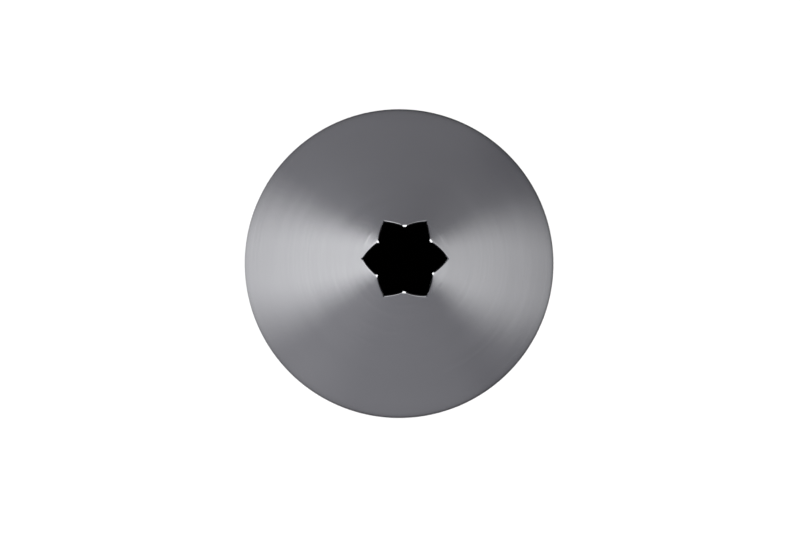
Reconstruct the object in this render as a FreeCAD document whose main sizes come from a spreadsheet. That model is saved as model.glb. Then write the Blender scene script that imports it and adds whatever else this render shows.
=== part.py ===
import FreeCAD
import Part
import Sketcher
import math
import os

# Star piping nozzle: one seamless cone of stainless sheet, open at both ends.
# It stands on its wide rim, with the rim's centre at the origin and the mouth up along +Z.
# Straight V notches cut across the narrow end leave a crown of pointed teeth.
# All lengths are in millimetres and all angles in degrees.

SIZES = {
    "base_diameter": 32.0,      # outside of the wide rim
    "tip_diameter": 6.1,        # outside of the cone where its narrow end is faced off
    "overall_height": 50.0,     # wide rim to the tooth tips
    "wall_thickness": 0.35,     # sheet, measured square to the wall
    "tooth_count": 6,           # notches, and so teeth, round the mouth
    "tooth_land": 0.25,         # width of the flat left at each tooth tip
    "notch_depth": 3.3,         # tooth tips down to the notch roots
    "notch_root_radius": 0.08,  # rounding at the bottom of a notch
    "rim_rounding": 0.1,        # both edges of the wide rim
    "edge_break": 0.06,         # deburred outer edges of the teeth
    "cutter_overrun": 1.0,      # how far the notch cutter stands above the tooth tips
}
SHEET = "sizes"
ON_SURFACE = 1e-4               # how near a point counts as lying on a surface


def make_sheet(doc):
    sheet = doc.addObject("Spreadsheet::Sheet", SHEET)
    for row, (alias, value) in enumerate(SIZES.items(), start=1):
        sheet.set(f"A{row}", alias)
        sheet.set(f"B{row}", str(value))
        sheet.setAlias(f"B{row}", alias)
    doc.recompute()
    return sheet


def origin_feature(body, role):
    return next(f for f in body.Origin.OriginFeatures if f.Role == role)


def new_sketch(body, name, plane):
    sketch = body.newObject("Sketcher::SketchObject", name)
    sketch.AttachmentSupport = (origin_feature(body, plane), [""])
    sketch.MapMode = "FlatFace"
    return sketch


# Each row is a named dimension: the constraint that holds it and the size that it follows.
def bind_all(sketch, rows):
    for name, (constraint, expression) in rows.items():
        index = sketch.addConstraint(Sketcher.Constraint(*constraint))
        sketch.renameConstraint(index, name)
        sketch.setExpression(f"Constraints.{name}", expression)


def point(x, y):
    return FreeCAD.Vector(x, y, 0)


# The wall in section: outer line, faced tip, inner line parallel to the outer one, flat rim.
def draw_wall(body, sheet):
    sketch = new_sketch(body, "wall_section", "XZ_Plane")
    base = sheet.base_diameter / 2
    tip = sheet.tip_diameter / 2
    top = sheet.overall_height
    inset = sheet.wall_thickness / math.cos(math.atan2(base - tip, top))
    corners = [
        point(base, 0),
        point(tip, top),
        point(tip - inset, top),
        point(base - inset, 0),
    ]
    for start, end in zip(corners, corners[1:] + corners[:1]):
        sketch.addGeometry(Part.LineSegment(start, end))
    outer, tip_face, inner, rim = range(4)
    for line in range(4):
        sketch.addConstraint(Sketcher.Constraint("Coincident", line, 2, (line + 1) % 4, 1))
    sketch.addConstraint(Sketcher.Constraint("PointOnObject", outer, 1, -1))
    sketch.addConstraint(Sketcher.Constraint("PointOnObject", rim, 1, -1))
    sketch.addConstraint(Sketcher.Constraint("Horizontal", tip_face))
    sketch.addConstraint(Sketcher.Constraint("Parallel", outer, inner))
    thickness = sheet.wall_thickness
    rows = {
        "base_radius": (("DistanceX", -1, 1, outer, 1, base), f"{SHEET}.base_diameter / 2"),
        "tip_radius": (("DistanceX", -1, 1, outer, 2, tip), f"{SHEET}.tip_diameter / 2"),
        "tip_level": (("DistanceY", -1, 1, outer, 2, top), f"{SHEET}.overall_height"),
        "thickness": (("Distance", inner, 1, outer, thickness), f"{SHEET}.wall_thickness"),
    }
    bind_all(sketch, rows)
    return sketch


# One notch seen end on: two straight flanks that run into a small round root.
# At the tooth tips the flanks are just far enough apart to leave the land between two notches.
def draw_notch(body, sheet):
    sketch = new_sketch(body, "notch_section", "YZ_Plane")
    pitch = math.pi / sheet.tooth_count
    mouth = sheet.tip_diameter / 2 * math.sin(pitch - math.asin(sheet.tooth_land / sheet.tip_diameter))
    radius = sheet.notch_root_radius
    rise = sheet.notch_depth - radius
    centre = sheet.overall_height - rise
    half = math.atan2(mouth, rise) - math.asin(radius / math.hypot(mouth, rise))
    top = sheet.overall_height + sheet.cutter_overrun
    tangent_y = radius * math.cos(half)
    tangent_z = centre - radius * math.sin(half)
    top_y = mouth + sheet.cutter_overrun * math.tan(half)
    print("flank angle", round(math.degrees(2 * half), 2), "degrees, notch width", round(2 * mouth, 3))
    circle = Part.Circle(point(0, centre), FreeCAD.Vector(0, 0, 1), radius)
    root = sketch.addGeometry(Part.ArcOfCircle(circle, math.pi + half, 2 * math.pi - half))
    right = sketch.addGeometry(Part.LineSegment(point(tangent_y, tangent_z), point(top_y, top)))
    lid = sketch.addGeometry(Part.LineSegment(point(top_y, top), point(-top_y, top)))
    left = sketch.addGeometry(Part.LineSegment(point(-top_y, top), point(-tangent_y, tangent_z)))
    land = sketch.addGeometry(Part.Point(point(mouth, sheet.overall_height)), True)
    sketch.addConstraint(Sketcher.Constraint("Tangent", root, 2, right, 1))
    sketch.addConstraint(Sketcher.Constraint("Coincident", right, 2, lid, 1))
    sketch.addConstraint(Sketcher.Constraint("Coincident", lid, 2, left, 1))
    sketch.addConstraint(Sketcher.Constraint("Tangent", left, 2, root, 1))
    sketch.addConstraint(Sketcher.Constraint("Symmetric", right, 2, left, 1, -2))
    sketch.addConstraint(Sketcher.Constraint("PointOnObject", root, 3, -2))
    sketch.addConstraint(Sketcher.Constraint("PointOnObject", land, 1, right))
    land_angle = f"asin({SHEET}.tooth_land / {SHEET}.tip_diameter)"
    rows = {
        "root_radius": (("Radius", root, radius), f"{SHEET}.notch_root_radius"),
        "root_centre": (
            ("DistanceY", -1, 1, root, 3, centre),
            f"{SHEET}.overall_height - {SHEET}.notch_depth + {SHEET}.notch_root_radius",
        ),
        "lid_level": (
            ("DistanceY", -1, 1, right, 2, top),
            f"{SHEET}.overall_height + {SHEET}.cutter_overrun",
        ),
        "land_level": (
            ("DistanceY", -1, 1, land, 1, sheet.overall_height),
            f"{SHEET}.overall_height",
        ),
        "half_mouth": (
            ("DistanceX", -1, 1, land, 1, mouth),
            f"{SHEET}.tip_diameter / 2 * sin(180 deg / {SHEET}.tooth_count - {land_angle})",
        ),
    }
    bind_all(sketch, rows)
    return sketch


# The cone wall, a full turn of its section.
def turn_wall(body, section):
    wall = body.newObject("PartDesign::Revolution", "cone_wall")
    wall.Profile = section
    wall.ReferenceAxis = (section, ["V_Axis"])
    wall.Angle = 360
    return wall


# A notch is cut from the axis outwards through one side of the wall, then repeated round the mouth.
def cut_notches(body, section):
    notch = body.newObject("PartDesign::Pocket", "notch")
    notch.Profile = section
    notch.Reversed = True
    notch.setExpression("Length", f"{SHEET}.base_diameter / 2")
    body.Document.recompute()
    crown = body.newObject("PartDesign::PolarPattern", "notch_ring")
    crown.Originals = [notch]
    crown.Axis = (origin_feature(body, "Z_Axis"), [""])
    crown.Angle = 360
    crown.setExpression("Occurrences", f"{SHEET}.tooth_count")
    body.Tip = crown
    body.Document.recompute()
    return notch, crown


def round_edges(body, base, name, wanted, radius):
    edges = [f"Edge{i}" for i, edge in enumerate(base.Shape.Edges, start=1) if wanted(edge)]
    rounding = body.newObject("PartDesign::Fillet", name)
    rounding.Base = (base, edges)
    rounding.setExpression("Radius", radius)
    body.Tip = rounding
    body.Document.recompute()
    return rounding


# Picks the mouth edges: those on the outside of the cone that reach no lower than the notch roots.
def on_outer_mouth(sheet):
    base = sheet.base_diameter / 2
    slope = (base - sheet.tip_diameter / 2) / sheet.overall_height
    lowest = sheet.overall_height - sheet.notch_depth - sheet.notch_root_radius

    def test(edge):
        ends = edge.ParameterRange
        places = [edge.valueAt(ends[0] + (ends[1] - ends[0]) * k / 4) for k in range(5)]
        return all(
            p.z > lowest and abs(math.hypot(p.x, p.y) - (base - slope * p.z)) < ON_SURFACE
            for p in places
        )

    return test


def on_rim(edge):
    return all(abs(v.Z) < ON_SURFACE for v in edge.Vertexes) and abs(edge.CenterOfMass.z) < ON_SURFACE


def make_shell(doc, sheet):
    body = doc.addObject("PartDesign::Body", "nozzle_shell")
    body.Label = "nozzle_shell"
    wall = turn_wall(body, draw_wall(body, sheet))
    doc.recompute()
    notch, crown = cut_notches(body, draw_notch(body, sheet))
    one_notch = wall.Shape.Volume - notch.Shape.Volume
    all_notches = wall.Shape.Volume - crown.Shape.Volume
    print("notch volume", round(one_notch, 4), "all notches", round(all_notches, 4))
    if one_notch <= 0 or all_notches < one_notch * (sheet.tooth_count - 0.5):
        raise RuntimeError("the notches did not cut the wall")
    wall_limit = f"0.4 * {SHEET}.wall_thickness"
    land_limit = f"0.3 * {SHEET}.tooth_land"
    rim_radius = f"min({SHEET}.rim_rounding; {wall_limit})"
    tooth_radius = f"min({SHEET}.edge_break; {wall_limit}; {land_limit})"
    rim = round_edges(body, crown, "rim_edges", on_rim, rim_radius)
    round_edges(body, rim, "tooth_edges", on_outer_mouth(sheet), tooth_radius)
    return body


def check(doc, pieces):
    failed = [o.Name for o in doc.Objects if {"Invalid", "Error"} & set(o.State)]
    bad = [p.Label for p in pieces if p.Shape.isNull() or not p.Shape.isValid()]
    if failed or bad:
        raise RuntimeError(f"failed objects {failed}, bad shapes {bad}")


def main():
    doc = FreeCAD.newDocument("piping_nozzle")
    sheet = make_sheet(doc)
    pieces = [make_shell(doc, sheet)]
    doc.recompute()
    check(doc, pieces)
    os.makedirs("parts", exist_ok=True)
    for piece in pieces:
        piece.Shape.exportStep(f"parts/{piece.Label}.step")
        box = piece.Shape.optimalBoundingBox(False, False)
        extent = [round(length, 3) for length in (box.XLength, box.YLength, box.ZLength)]
        print(piece.Label, "solids", len(piece.Shape.Solids), "faces", len(piece.Shape.Faces))
        print(piece.Label, "volume", round(piece.Shape.Volume, 3), "extent", extent)


main()
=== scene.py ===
import bpy
import bmesh
import math
from mathutils import Matrix, Vector


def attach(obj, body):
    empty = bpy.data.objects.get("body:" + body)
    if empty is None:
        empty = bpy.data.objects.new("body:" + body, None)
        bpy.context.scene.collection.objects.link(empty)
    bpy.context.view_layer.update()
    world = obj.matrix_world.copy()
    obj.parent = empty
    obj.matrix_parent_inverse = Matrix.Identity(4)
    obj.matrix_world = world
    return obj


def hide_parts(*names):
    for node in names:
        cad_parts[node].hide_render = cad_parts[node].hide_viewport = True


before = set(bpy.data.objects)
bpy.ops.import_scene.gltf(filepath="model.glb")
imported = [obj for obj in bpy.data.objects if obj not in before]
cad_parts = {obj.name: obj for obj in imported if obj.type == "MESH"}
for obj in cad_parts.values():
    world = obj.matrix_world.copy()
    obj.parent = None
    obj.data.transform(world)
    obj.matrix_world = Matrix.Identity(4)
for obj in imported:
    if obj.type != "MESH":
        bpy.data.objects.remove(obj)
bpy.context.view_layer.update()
scene = bpy.context.scene
scene.view_settings.view_transform = "Standard"


# selecting by place

selectModes = {"verts": "VERT", "edges": "EDGE", "faces": "FACE"}


def pick(piece, kind, test):  # in edit mode, selects what passes the test, and nothing else
    bpy.ops.mesh.select_mode(type=selectModes[kind])
    bpy.ops.mesh.select_all(action="DESELECT")
    mesh = bmesh.from_edit_mesh(piece.data)
    mesh.normal_update()
    chosen = [item for item in getattr(mesh, kind) if test(item)]
    for item in chosen:
        item.select_set(True)
    mesh.select_flush_mode()
    bmesh.update_edit_mesh(piece.data)
    return len(chosen)


def radiusOf(co):
    return math.hypot(co.x, co.y)


def turnOf(co):  # degrees round the axis
    return math.degrees(math.atan2(co.y, co.x)) % 360


def apart(turnA, turnB):  # degrees between two directions, the short way round
    return abs((turnA - turnB + 180) % 360 - 180)


def middle(edge):
    return (edge.verts[0].co + edge.verts[1].co) / 2


# the nozzle, modelled at one unit to the millimetre and brought to metres at the end

shell = {
    "rimRadius": 16.0,
    "tipRadius": 3.17,        # of the straight cone; each tooth is then pulled in a little
    "height": 50.0,
    "sheet": 0.35,
    "sheetTip": 0.20,         # drawn thinner towards the mouth
    "notchRoot": 46.75,       # where a notch's two flanks meet
    # by place round the mouth, the saw's run-out below each root
    "slits": {0: 0.08, 60: 0.15, 120: 0.2, 180: 0.2, 240: 0.25, 300: 0.15},
    # by place round the mouth, how far each tip is turned, in degrees, and pulled in,
    # and its flanks' angle from the middle plane of the notch beside them
    "teeth": {
        30: {"turn": 4.4, "pull": 0.32, "flank": 23.0},
        90: {"turn": 1.8, "pull": 0.145, "flank": 22.8},
        150: {"turn": -0.4, "pull": 0.18, "flank": 24.1},
        210: {"turn": 1.0, "pull": 0.03, "flank": 24.0},
        270: {"turn": -2.8, "pull": 0.0, "flank": 23.3},
        330: {"turn": 0.8, "pull": 0.25, "flank": 23.8},
    },
    "toothReach": 3.8,        # how far below its tip a tooth bends
    "mouthEdge": {"offset": 0.06, "segments": 3},
    "innerEdge": {"offset": 0.02, "segments": 2},
    "rimEdge": {"offset": 0.13, "segments": 4},
    "columns": 240,           # round the cone, 1.5 degrees each
    "rings": (5, 11, 17, 23, 29, 34.5, 39, 42.5, 45),  # levels at which the wall is cut, below the teeth
    "toothRows": 6,           # from the last ring to the mouth
    "spareTip": 1.0,          # the wall is made this much too tall, then faced off
    "level": 0.01,            # points this near to a level lie on it
    "clear": 0.5,             # what is this far above the last ring belongs to the mouth
    "rimZone": 1.0,           # what is lower than this belongs to the rim
    "ringCut": 0.0001,        # how near a point snaps to a ring's cut
    "tipCut": 0.002,          # and to the cut that faces off the tips
    "weld": 0.001,            # points nearer than this become one
    "tipWeld": 0.03,          # and at a faced tip, nearer than this
    "tipZone": 0.1,           # how far down a faced tip's points lie
    "sharp": 30,              # degrees between two faces that make an edge to be rounded
    "smooth": 40,             # degrees between two faces that are still shaded as one
    "square": 0.7,            # how squarely a face of the wall looks outwards or inwards
    "up": 0.1,                # and how much an outer face looks up
    "metre": 0.001,           # metres in a unit
}
taper = (shell["rimRadius"] - shell["tipRadius"]) / shell["height"]
slant = math.hypot(1, taper)
wallInset = shell["sheet"] * slant
tipInset = shell["sheetTip"] * slant
wallTop = shell["height"] + shell["spareTip"]
lastRing = shell["rings"][-1]
halfPitch = 180 / len(shell["teeth"])
columnStep = 360 / shell["columns"]
nearColumn = columnStep / 4


def notchAngle(co):  # from the middle of the nearest notch, 0 to half a tooth pitch
    turn = turnOf(co) % (2 * halfPitch)
    return min(turn, 2 * halfPitch - turn)


def lowerTop(wall, rim, slope, level, wanted):  # brings part of the wall's top edge down the cone
    pick(wall, "verts", lambda v: v.co.z > wallTop - shell["level"] and wanted(v.co))
    bpy.ops.transform.translate(value=(0, 0, level - wallTop))
    shrink = (rim - slope * level) / (rim - slope * wallTop)
    bpy.ops.transform.resize(value=(shrink, shrink, 1), center_override=(0, 0, 0))


def shapeNotches(wall, rim, slope):  # each column of the wall ends in a slit or on the flank of its tooth
    root = shell["notchRoot"]
    for place, slit in shell["slits"].items():
        lowerTop(wall, rim, slope, root - slit, lambda co: apart(turnOf(co), place) < nearColumn)
    for place, tooth in shell["teeth"].items():
        for column in range(1, int(halfPitch / columnStep) + 1):
            angle = column * columnStep
            rise = math.sin(math.radians(angle)) / math.tan(math.radians(tooth["flank"]))
            level = (root + rim * rise) / (1 + slope * rise)
            lowerTop(wall, rim, slope, level, lambda co: abs(notchAngle(co) - angle) < nearColumn
                     and apart(turnOf(co), place) < halfPitch)


def leavesLastRing(edge):  # an edge from the last ring up to the mouth
    low, high = sorted(v.co.z for v in edge.verts)
    return low < lastRing + shell["level"] < high - shell["clear"]


def makeWall(name, rimInset, mouthInset):
    rim = shell["rimRadius"] - rimInset
    slope = (rim - shell["tipRadius"] + mouthInset) / shell["height"]
    bpy.ops.object.select_all(action="DESELECT")
    bpy.ops.mesh.primitive_cone_add(vertices=shell["columns"], radius1=rim, radius2=rim - slope * wallTop,
                                    depth=wallTop, end_fill_type="NOTHING", location=(0, 0, wallTop / 2))
    bpy.ops.object.transform_apply(location=True, rotation=True, scale=True)
    wall = bpy.context.object
    wall.name = name
    bpy.ops.object.mode_set(mode="EDIT")
    shapeNotches(wall, rim, slope)
    for ring in shell["rings"]:
        bpy.ops.mesh.select_all(action="SELECT")
        bpy.ops.mesh.bisect(plane_co=(0, 0, ring), plane_no=(0, 0, 1), threshold=shell["ringCut"])
    pick(wall, "edges", leavesLastRing)
    bpy.ops.mesh.subdivide(number_cuts=shell["toothRows"] - 1)
    bpy.ops.object.mode_set(mode="OBJECT")
    return wall


def closeWalls(outer, inner):  # mouth bridged, rim folded in and welded, then the tooth tips faced off
    bpy.ops.object.select_all(action="DESELECT")
    inner.select_set(True)
    outer.select_set(True)
    bpy.context.view_layer.objects.active = outer
    bpy.ops.object.join()
    bpy.ops.object.mode_set(mode="EDIT")
    pick(outer, "edges", lambda e: e.is_boundary and middle(e).z > lastRing)
    bpy.ops.mesh.bridge_edge_loops()
    halfway = shell["rimRadius"] - wallInset / 2
    pick(outer, "edges", lambda e: e.is_boundary and radiusOf(middle(e)) > halfway)
    bpy.ops.mesh.extrude_edges_move()
    inward = 1 - wallInset / shell["rimRadius"]
    bpy.ops.transform.resize(value=(inward, inward, 1), center_override=(0, 0, 0))
    bpy.ops.mesh.select_all(action="SELECT")
    bpy.ops.mesh.remove_doubles(threshold=shell["weld"])
    bpy.ops.mesh.normals_make_consistent(inside=False)
    bpy.ops.mesh.bisect(plane_co=(0, 0, shell["height"]), plane_no=(0, 0, 1), threshold=shell["tipCut"],
                        clear_outer=True, use_fill=True)
    pick(outer, "verts", lambda v: v.co.z > shell["height"] - shell["tipZone"])
    bpy.ops.mesh.remove_doubles(threshold=shell["tipWeld"])
    bpy.ops.object.mode_set(mode="OBJECT")
    return outer


def setTeeth(piece):  # each tip is turned and pulled in a little, and the tooth below follows it
    bpy.ops.object.mode_set(mode="EDIT")
    follow = dict(center_override=(0, 0, 0), use_proportional_edit=True, use_proportional_connected=True,
                  proportional_edit_falloff="LINEAR", proportional_size=shell["toothReach"])
    faced = shell["height"] - shell["level"]
    for place, tooth in shell["teeth"].items():
        pick(piece, "verts", lambda v: v.co.z > faced and apart(turnOf(v.co), place) < halfPitch / 2)
        bpy.ops.transform.rotate(value=-math.radians(tooth["turn"]), orient_axis="Z", **follow)
        shrink = 1 - tooth["pull"] / shell["tipRadius"]
        bpy.ops.transform.resize(value=(shrink, shrink, 1), **follow)
    bpy.ops.object.mode_set(mode="OBJECT")


def outwardness(face):  # 1 where a face looks straight away from the axis, -1 where it looks straight at it
    centre = face.calc_center_median()
    return (face.normal.x * centre.x + face.normal.y * centre.y) / radiusOf(centre)


def isOutside(face):
    return outwardness(face) > shell["square"] and face.normal.z > shell["up"]


def isInside(face):
    return outwardness(face) < -shell["square"]


def isCut(face):
    return not isOutside(face) and not isInside(face)


def isSharp(edge):
    return len(edge.link_faces) == 2 and edge.calc_face_angle(0) > math.radians(shell["sharp"])


def roundEdges(piece):
    bpy.ops.object.mode_set(mode="EDIT")
    mouth = lastRing + shell["clear"]
    rules = {
        "mouthEdge": lambda e: middle(e).z > mouth and any(map(isOutside, e.link_faces)),
        "innerEdge": lambda e: middle(e).z > mouth and any(map(isInside, e.link_faces)),
        "rimEdge": lambda e: middle(e).z < shell["rimZone"],
    }
    for name, rule in rules.items():
        made = pick(piece, "edges", lambda e: isSharp(e) and rule(e))
        bpy.ops.mesh.bevel(clamp_overlap=True, **shell[name])
        print(name, "rounded on", made, "edges")
    bpy.ops.object.mode_set(mode="OBJECT")


def finishShell(piece):  # brought to metres, and shaded smooth between its sharp edges
    bpy.ops.object.mode_set(mode="EDIT")
    bpy.ops.mesh.select_all(action="SELECT")
    bpy.ops.transform.resize(value=(shell["metre"],) * 3, center_override=(0, 0, 0))
    bpy.ops.object.mode_set(mode="OBJECT")
    bpy.ops.object.select_all(action="DESELECT")
    piece.select_set(True)
    bpy.context.view_layer.objects.active = piece
    bpy.ops.object.shade_smooth_by_angle(angle=math.radians(shell["smooth"]))
    weighted = piece.modifiers.new("even shading", "WEIGHTED_NORMAL")
    weighted.keep_sharp = True
    bpy.ops.object.modifier_apply(modifier=weighted.name)


nozzle = closeWalls(makeWall("starNozzle", 0, 0), makeWall("innerWall", wallInset, tipInset))
setTeeth(nozzle)
roundEdges(nozzle)
print("nozzle modelled,", len(nozzle.data.polygons), "faces")


# shader maths: a socket that arithmetic can use

class Value:
    def __init__(self, tree, socket):
        self.tree = tree
        self.socket = socket

    def calc(self, operation, *others):
        return maths(self.tree, operation, self, *others)

    def __add__(self, other):
        return self.calc("ADD", other)

    def __sub__(self, other):
        return self.calc("SUBTRACT", other)

    def __mul__(self, other):
        return self.calc("MULTIPLY", other)

    def __truediv__(self, other):
        return self.calc("DIVIDE", other)

    def __rsub__(self, other):
        return maths(self.tree, "SUBTRACT", other, self)

    def __rtruediv__(self, other):
        return maths(self.tree, "DIVIDE", other, self)

    __radd__ = __add__
    __rmul__ = __mul__


def maths(tree, operation, *terms):
    return node(tree, "ShaderNodeMath", {"operation": operation}, dict(enumerate(terms)))[0]


def node(tree, kind, settings, sockets):  # any node: its settings first, then its sockets' values or links
    made = tree.nodes.new(kind)
    for name, value in settings.items():
        setattr(made, name, value)
    for name, value in sockets.items():
        if isinstance(value, Value):
            tree.links.new(value.socket, made.inputs[name])
        else:
            made.inputs[name].default_value = value
    return [Value(tree, socket) for socket in made.outputs]


def newMaterial(name):
    made = bpy.data.materials.new(name)
    made.use_nodes = True
    made.node_tree.nodes.clear()
    return made, made.node_tree


def output(tree, shader):
    node(tree, "ShaderNodeOutputMaterial", {}, {"Surface": shader})


def objectPlace(tree):
    return node(tree, "ShaderNodeTexCoord", {}, {})[3]  # object coordinates


nearAxis = 0.0001  # metres; closer in, the distance from the axis stays at this


def roundAxis(tree):  # cosine and sine of the turn round the axis, height, distance from the axis
    x, y, height = node(tree, "ShaderNodeSeparateXYZ", {}, {0: objectPlace(tree)})
    reach = (x * x + y * y).calc("SQRT").calc("MAXIMUM", nearAxis)
    return x / reach, y / reach, height, reach


def stepUp(value, low, high, curve="SMOOTHSTEP"):  # from 0 at low to 1 at high
    return node(value.tree, "ShaderNodeMapRange", {"interpolation_type": curve},
                {"Value": value, "From Min": low, "From Max": high})[0]


finishes = {
    "satinSteel": {"pale": (0.66, 0.665, 0.678), "deep": (0.47, 0.475, 0.489), "roughness": 0.25,
                   "anisotropy": 0.4, "grain": 0.0000003},
    "innerSteel": {"pale": (0.52, 0.525, 0.54), "deep": (0.42, 0.425, 0.44), "roughness": 0.33,
                   "anisotropy": 0.3, "grain": 0.0000008},
    "cutSteel": {"pale": (0.585, 0.59, 0.605), "deep": (0.50, 0.505, 0.52), "roughness": 0.16,
                 "anisotropy": 0.0, "grain": 0.0000002},
}
glossTurn = 0.25              # of a turn: the gloss is drawn out across the turning marks
marks = {                     # turning marks: noise scale across them, per metre of height, and along them
    "fine": {"across": 3600, "along": 1.0, "detail": 1},
    "middling": {"across": 1500, "along": 1.0, "detail": 1},
    "broad": {"across": 700, "along": 0.7, "detail": 2},
}
smudges = {"Scale": 160, "Detail": 3.0}
shares = {                    # what each pattern gives to the tone, to the roughness and to the relief
    "tone": {"fine": 0.2, "middling": 0.25, "broad": 0.25, "smudge": 0.3},
    "roughness": {"fine": 0.02, "broad": 0.02, "smudge": 0.08},
    "relief": {"fine": 1.0, "middling": 0.5},
}
bendLine = {                  # a slight ridge beside the mouth, where the teeth start to bend in
    "foot": 0.0457,
    "crest": 0.04695,
    "head": 0.0476,
    "rise": 0.00002,
    "sides": (0.55, 0.72),    # it fades out from the left and right towards the front and back
}


# round the cone: a pattern long along the turning marks and fine across them
def turnedNoise(tree, across, along, detail):
    cosine, sine, height, _ = roundAxis(tree)
    drawnOut = {0: cosine * along, 1: sine * along, 2: height * across}
    spot = node(tree, "ShaderNodeCombineXYZ", {}, drawnOut)[0]
    return node(tree, "ShaderNodeTexNoise", {}, {"Vector": spot, "Scale": 1.0, "Detail": detail})[0]


def blendOf(patterns, portions):
    return sum(patterns[name] * portion for name, portion in portions.items())


def bendRidge(tree):  # 0 to 1, highest along the crest at the left and right
    cosine, _, height, _ = roundAxis(tree)
    climb = stepUp(height, bendLine["foot"], bendLine["crest"])
    fall = stepUp(height, bendLine["crest"], bendLine["head"])
    return (climb - fall) * stepUp(cosine * cosine, *bendLine["sides"])


def steel(name):
    finish = finishes[name]
    made, tree = newMaterial(name)
    patterns = {kind: turnedNoise(tree, **mark) for kind, mark in marks.items()}
    patterns["smudge"] = node(tree, "ShaderNodeTexNoise", {}, {"Vector": objectPlace(tree), **smudges})[0]
    colour = node(tree, "ShaderNodeMix", {"data_type": "RGBA"}, {
        0: blendOf(patterns, shares["tone"]), 6: (*finish["deep"], 1), 7: (*finish["pale"], 1)})[2]
    smoothest = finish["roughness"] - sum(shares["roughness"].values()) / 2  # patterns are 0.5 on average
    rough = smoothest + blendOf(patterns, shares["roughness"])
    relief = bendRidge(tree) * bendLine["rise"] + blendOf(patterns, shares["relief"]) * finish["grain"]
    bump = node(tree, "ShaderNodeBump", {}, {"Height": relief, "Strength": 1.0, "Distance": 1.0})[0]
    shader = node(tree, "ShaderNodeBsdfPrincipled", {}, {
        "Base Color": colour, "Metallic": 1.0, "Roughness": rough, "Normal": bump,
        "Anisotropic": finish["anisotropy"], "Anisotropic Rotation": glossTurn})[0]
    output(tree, shader)
    return made


def dress(piece):  # satin outside, duller inside, bright-cut teeth and rim
    piece.data.materials.clear()
    for name in finishes:
        piece.data.materials.append(steel(name))
    bpy.ops.object.mode_set(mode="EDIT")
    for index, rule in enumerate((isOutside, isInside, isCut)):
        pick(piece, "faces", rule)
        piece.active_material_index = index
        bpy.ops.object.material_slot_assign()
    bpy.ops.object.mode_set(mode="OBJECT")


dress(nozzle)
finishShell(nozzle)
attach(nozzle, "root")
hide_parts("nozzle_shell")
print("nozzle dressed")


# the stage: a white floor, and a black disc of painted shade under the open base

stage = {
    "floorRadius": 4.0,
    "floorLevel": -0.00002,   # just below the rim
    "floorColour": (0.985, 0.985, 0.985),
    # a black disc inside the rim, painted shade that makes the nozzle's hollow black
    "paintedShadeRadius": 0.0152,
    "paintedShadeLevel": 0.00009,
    "paintedShadeColour": (0.004, 0.004, 0.004),
    "sides": 128,             # of everything round on the stage
}


def onStage(made, name, material):
    bpy.ops.object.transform_apply(location=True)
    made.name = name
    made.data.materials.append(material)
    return made


def flatDisc(name, radius, level, material):
    bpy.ops.object.select_all(action="DESELECT")
    bpy.ops.mesh.primitive_circle_add(vertices=stage["sides"], radius=radius, fill_type="NGON",
                                      location=(0, 0, level))
    return onStage(bpy.context.object, name, material)


def openTube(name, radius, height, material):
    bpy.ops.object.select_all(action="DESELECT")
    bpy.ops.mesh.primitive_cylinder_add(vertices=stage["sides"], radius=radius, depth=height,
                                        end_fill_type="NOTHING", location=(0, 0, height / 2))
    return onStage(bpy.context.object, name, material)


def matt(name, colour):
    made, tree = newMaterial(name)
    output(tree, node(tree, "ShaderNodeBsdfDiffuse", {}, {"Color": (*colour, 1)})[0])
    return made


flatDisc("floor", stage["floorRadius"], stage["floorLevel"], matt("floorWhite", stage["floorColour"]))
# painted shade: a black disc under the open base, hidden from outside by the nozzle, that blacks out its
# hollow
flatDisc("paintedShadeDisc", stage["paintedShadeRadius"], stage["paintedShadeLevel"], matt("paintedShadeBlack", stage["paintedShadeColour"]))
print("stage set")


# the tent: a floor and a wall that only the steel mirrors, bright to the left and right and dim between

tent = {
    "radius": 0.8,
    "height": 0.75,
    "level": 0.00005,
    "dim": 0.215,             # between the bright sides
    "dimFront": 0.028,        # more towards the front, less towards the back
    "dimLeft": 0.035,         # more towards the left
    "dimTint": (0.975, 0.965, 1.05),
    "rimLine": (0.0160, 0.0164),  # close round the rim the floor is in shade
    "rimShade": 0.2,
    "rimSides": 0.36,         # less shade to the left and right
    "rimLeft": 0.24,          # and least to the left
    "wallFoot": 0.06,         # height over which the floor's light gives way to the wall's
    "wallDim": 0.40,          # between the bright sides of the wall
    "spans": ((0.0165, 0.028), (0.042, 0.07)),  # metres from the axis over which a fan changes
    # bright and dark sides of the floor: direction, half width and softness in degrees, and brightness;
    # three numbers are those beside the rim, in the middle and further out
    "fans": {
        "left": {"towards": 179.5, "glow": (0.46, 0.60, 1.1), "half": (23, 27.6, 42), "soft": (19, 15, 16)},
        "right": {"towards": -5, "glow": (0.228, 0.445, 0.9), "half": (20.5, 31.3, 40), "soft": 15},
        "leftGlow": {"towards": 228, "glow": (0.04, 0.025, 0.0), "half": 14, "soft": 14},
        "rightShade": {"towards": 42, "glow": (-0.04, 0.035, 0.0), "half": 12, "soft": 12},
        "frontShade": {"towards": 308, "glow": (-0.03, 0.0, 0.0), "half": 7, "soft": 8},
        "frontLeft": {"towards": 169, "glow": (0.0, 0.0, -0.5), "half": 12, "soft": 10},
        "frontRight": {"towards": 11, "glow": (0.0, 0.0, -0.6), "half": 12, "soft": 10},
        "backCard": {"towards": 150, "glow": (0.0, 0.0, 1.4), "half": 12, "soft": 10},
    },
    # bright sides of the wall, which shows in the cone from lower down
    "panels": {
        "left": {"towards": 180, "glow": 0.62, "half": 40, "soft": 16},
        "right": {"towards": 0, "glow": 0.45, "half": 32, "soft": 14},
        "back": {"towards": 78, "glow": 0.35, "half": 9, "soft": 6},
        "front": {"towards": 252, "glow": 0.42, "half": 12, "soft": 7},
    },
}


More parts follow.
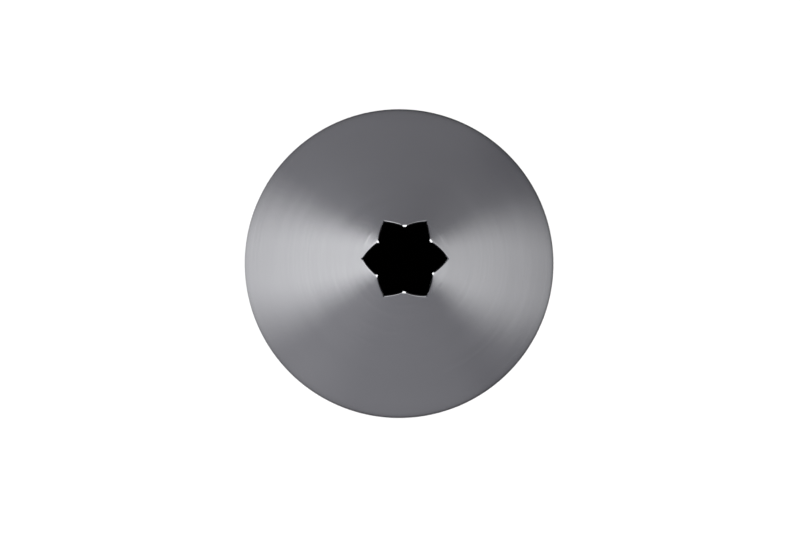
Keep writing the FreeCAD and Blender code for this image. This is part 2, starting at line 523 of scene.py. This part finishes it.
def tentGlow():
    made, tree = newMaterial("tentGlow")
    cosine, sine, height, reach = roundAxis(tree)
    toMiddle, toOutside = [stepUp(reach, *span, "LINEAR") for span in tent["spans"]]

    def outward(amount):  # one number all the way, or three that follow each other from the rim
        if not isinstance(amount, tuple):
            return amount
        beside, between, beyond = amount
        return beside + toMiddle * (between - beside) + toOutside * (beyond - between)

    def lobe(towards, glow, half, soft):  # brightest in its direction, fading out to each side
        turn = math.radians(towards)
        away = (cosine * math.cos(turn) + sine * math.sin(turn)).calc("ARCCOSINE") * math.degrees(1)
        half = outward(half)
        soft = outward(soft)
        return (1 - stepUp(away, half - soft, half + soft)) * outward(glow)

    dim = tent["dim"] - sine * tent["dimFront"] - cosine * tent["dimLeft"]
    bright = sum(lobe(**fan) for fan in tent["fans"].values())
    shade = tent["rimShade"] + cosine * cosine * tent["rimSides"] - cosine * tent["rimLeft"]
    lit = shade + (1 - shade) * stepUp(reach, *tent["rimLine"])
    wall = tent["wallDim"] + sum(lobe(**panel) for panel in tent["panels"].values())
    onWall = stepUp(height, 0.0, tent["wallFoot"])
    channels = [(dim * tint + bright) * lit * (1 - onWall) + wall * onWall for tint in tent["dimTint"]]
    tone = node(tree, "ShaderNodeCombineColor", {}, dict(enumerate(channels)))[0]
    output(tree, node(tree, "ShaderNodeEmission", {}, {"Color": tone, "Strength": 1.0})[0])
    return made


def mirroredOnly(piece):
    piece.visible_camera = False
    piece.visible_diffuse = False
    piece.visible_transmission = False
    piece.visible_shadow = False


glow = tentGlow()
mirroredOnly(flatDisc("tentFloor", tent["radius"], tent["level"], glow))
mirroredOnly(openTube("tentWall", tent["radius"], tent["height"], glow))
print("tent hung")


# light: a pale sky all round, and one soft box overhead

sky = {"Color": (1.0, 1.0, 1.0, 1), "Strength": 1.0}
overhead = {
    "place": (0, 0, 0.9),
    "aim": (0, 0, 0),
    "width": 1.1,
    "height": 1.1,
    "watts": 4.2,
}


def paleSky():
    world = bpy.data.worlds.new("paleSky")
    scene.world = world
    world.use_nodes = True
    tree = world.node_tree
    tree.nodes.clear()
    node(tree, "ShaderNodeOutputWorld", {}, {"Surface": node(tree, "ShaderNodeBackground", {}, sky)[0]})


def softBox(name, place, aim, width, height, watts):
    lamp = bpy.data.lights.new(name, "AREA")
    lamp.shape = "RECTANGLE"
    lamp.size = width
    lamp.size_y = height
    lamp.energy = watts
    made = bpy.data.objects.new(name, lamp)
    scene.collection.objects.link(made)
    made.location = place
    made.rotation_euler = (Vector(aim) - Vector(place)).to_track_quat("-Z", "Y").to_euler()
    made.visible_camera = False


paleSky()
softBox("overheadBox", **overhead)
print("lights on")


# the camera, straight above and a touch off the axis

view = {
    "place": (-0.00447, -0.0036, 0.379),
    "aim": (0.000087, -0.000305, 0.0),
    "lens": 164.84,
    "sensor": 36,
    "nearest": 0.01,
    "farthest": 20,
}


def placeCamera():
    made = bpy.data.objects.new("camera", bpy.data.cameras.new("camera"))
    scene.collection.objects.link(made)
    made.location = view["place"]
    back = (Vector(view["place"]) - Vector(view["aim"])).normalized()
    right = Vector((0, 1, 0)).cross(back).normalized()  # the picture's top is towards +Y
    top = back.cross(right)
    made.rotation_mode = "QUATERNION"
    made.rotation_quaternion = Matrix((right, top, back)).transposed().to_quaternion()
    made.data.sensor_width = view["sensor"]
    made.data.lens = view["lens"]
    made.data.clip_start = view["nearest"]
    made.data.clip_end = view["farthest"]
    return made


scene.camera = placeCamera()
print("camera placed")
